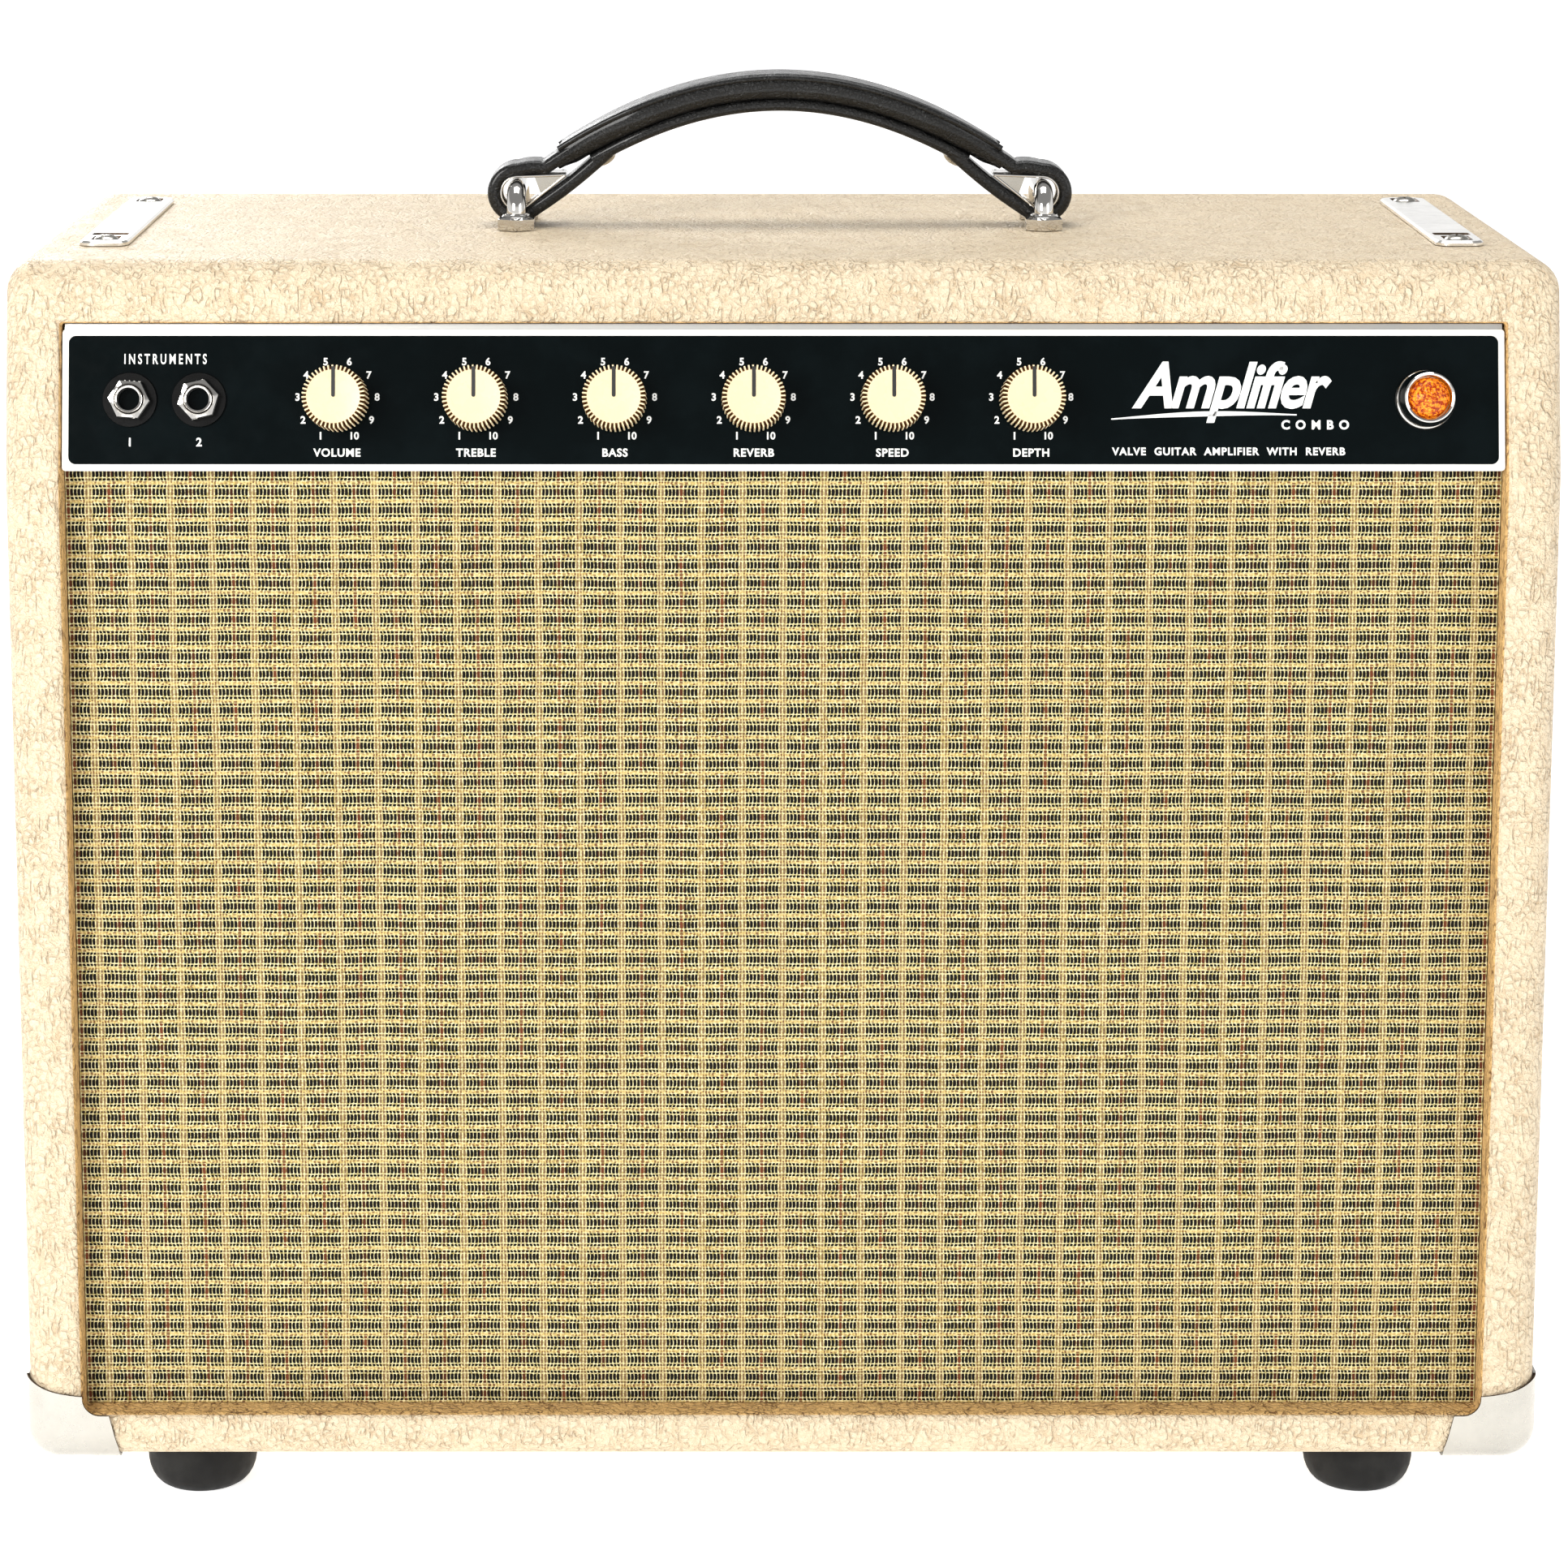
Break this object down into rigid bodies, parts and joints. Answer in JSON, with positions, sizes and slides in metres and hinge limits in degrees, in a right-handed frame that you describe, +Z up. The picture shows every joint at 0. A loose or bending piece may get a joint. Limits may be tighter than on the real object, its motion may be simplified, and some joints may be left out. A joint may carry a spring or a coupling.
{
  "type": "guitar amplifier",
  "caption": "Open-back guitar combo amplifier with a covered cabinet, woven grille, tilted control panel, knobs, valves, loudspeaker and carrying handle.",
  "frame": {"origin": "on the floor under the middle of the cabinet's footprint", "axes": "+X to the right as seen from the front, +Y towards the back, +Z up; the front faces -Y"},
  "size_m": [0.5074, 0.2526, 0.475],
  "materials": {
    "vinyl_board": "cream leather-grain vinyl glued over board",
    "plywood": "bare plywood",
    "wheat_cloth": "woven grille cloth",
    "black_panel": "gloss black with white legends",
    "plated_steel": "bright zinc plate",
    "chrome": "bright chrome",
    "satin_nickel": "satin nickel",
    "black_leather": "embossed black leather",
    "black_rubber": "moulded rubber",
    "cream_plastic": "moulded cream plastic",
    "black_plastic": "moulded black plastic",
    "amber_jewel": "faceted amber glass",
    "valve_glass": "clear glass over dark plates",
    "valve_shield": "bright metal shields",
    "transformer_iron": "black painted bells and laminations",
    "magnet_steel": "ferrite ring with steel plates",
    "cone_paper": "pressed dark paper",
    "circuit_board": "circuit board with rotary controls"
  },
  "bodies": {
    "cabinet": {"top_board": "vinyl_board", "bottom_board": "vinyl_board", "left_side_board": "vinyl_board", "right_side_board": "vinyl_board", "upper_back_panel": "vinyl_board", "lower_back_panel": "vinyl_board", "baffle_board": "plywood", "left_batten": "plywood", "right_batten": "plywood", "grille_cloth": "wheat_cloth", "control_panel": "black_panel", "chassis": "plated_steel", "speaker_frame": "plated_steel", "reverb_tank": "plated_steel", "handle_bail_left": "chrome", "handle_bail_right": "chrome", "jack_nut_1": "chrome", "jack_nut_2": "chrome", "pilot_lamp_holder": "chrome", "corner_front_left": "satin_nickel", "corner_front_right": "satin_nickel", "corner_rear_left": "satin_nickel", "corner_rear_right": "satin_nickel", "chassis_strap_left": "satin_nickel", "chassis_strap_right": "satin_nickel", "chassis_bolt_front_left": "satin_nickel", "chassis_bolt_front_right": "satin_nickel", "chassis_bolt_rear_left": "satin_nickel", "chassis_bolt_rear_right": "satin_nickel", "foot_front_left": "black_rubber", "foot_front_right": "black_rubber", "foot_rear_left": "black_rubber", "foot_rear_right": "black_rubber", "input_jack_1": "black_plastic", "input_jack_2": "black_plastic", "speaker_jack": "black_plastic", "power_inlet": "black_plastic", "fuse_holder": "black_plastic", "power_switch": "black_plastic", "pilot_jewel": "amber_jewel", "power_tube_1": "valve_glass", "power_tube_2": "valve_glass", "preamp_tube_1": "valve_shield", "preamp_tube_2": "valve_shield", "power_transformer": "transformer_iron", "output_transformer": "transformer_iron", "speaker_magnet": "magnet_steel", "control_board": "circuit_board"},
    "handle": {"handle_grip": "black_leather", "handle_liner_left": "chrome", "handle_liner_right": "chrome"},
    "cone": {"speaker_cone": "cone_paper"},
    "fuse_cap": {"fuse_cap": "black_plastic"},
    "power_lever": {"power_switch_lever": "chrome"},
    "volume_control": {"volume_knob": "cream_plastic"},
    "treble_control": {"treble_knob": "cream_plastic"},
    "bass_control": {"bass_knob": "cream_plastic"},
    "reverb_control": {"reverb_knob": "cream_plastic"},
    "speed_control": {"speed_knob": "cream_plastic"},
    "depth_control": {"depth_knob": "cream_plastic"}
  },
  "joints": [
    {"name": "volume_turn", "type": "hinge", "parent": "cabinet", "child": "volume_control", "pos_m": [-0.1444, -0.10766, 0.37806], "axis": [0, -0.9763, 0.2164], "range_deg": [-150, 150]},
    {"name": "treble_turn", "type": "hinge", "parent": "cabinet", "child": "treble_control", "pos_m": [-0.0995, -0.10766, 0.37806], "axis": [0, -0.9763, 0.2164], "range_deg": [-150, 150]},
    {"name": "bass_turn", "type": "hinge", "parent": "cabinet", "child": "bass_control", "pos_m": [-0.0546, -0.10766, 0.37806], "axis": [0, -0.9763, 0.2164], "range_deg": [-150, 150]},
    {"name": "reverb_turn", "type": "hinge", "parent": "cabinet", "child": "reverb_control", "pos_m": [-0.0097, -0.10766, 0.37806], "axis": [0, -0.9763, 0.2164], "range_deg": [-150, 150]},
    {"name": "speed_turn", "type": "hinge", "parent": "cabinet", "child": "speed_control", "pos_m": [0.0352, -0.10766, 0.37806], "axis": [0, -0.9763, 0.2164], "range_deg": [-150, 150]},
    {"name": "depth_turn", "type": "hinge", "parent": "cabinet", "child": "depth_control", "pos_m": [0.0801, -0.10766, 0.37806], "axis": [0, -0.9763, 0.2164], "range_deg": [-150, 150]},
    {"name": "handle_lift", "type": "slide", "parent": "cabinet", "child": "handle", "axis": [0, 0, 1], "range_m": [0, 0.003]},
    {"name": "cone_travel", "type": "slide", "parent": "cabinet", "child": "cone", "axis": [0, -1, 0], "range_m": [-0.004, 0.004], "stiffness_N_per_m": 1500},
    {"name": "power_toggle", "type": "hinge", "parent": "cabinet", "child": "power_lever", "pos_m": [0.11, 0.11, 0.379], "axis": [1, 0, 0], "range_deg": [0, 25]},
    {"name": "fuse_cap_turn", "type": "hinge", "parent": "cabinet", "child": "fuse_cap", "pos_m": [0.15, 0.106, 0.379], "axis": [0, 1, 0], "range_deg": [0, 90]}
  ]
}
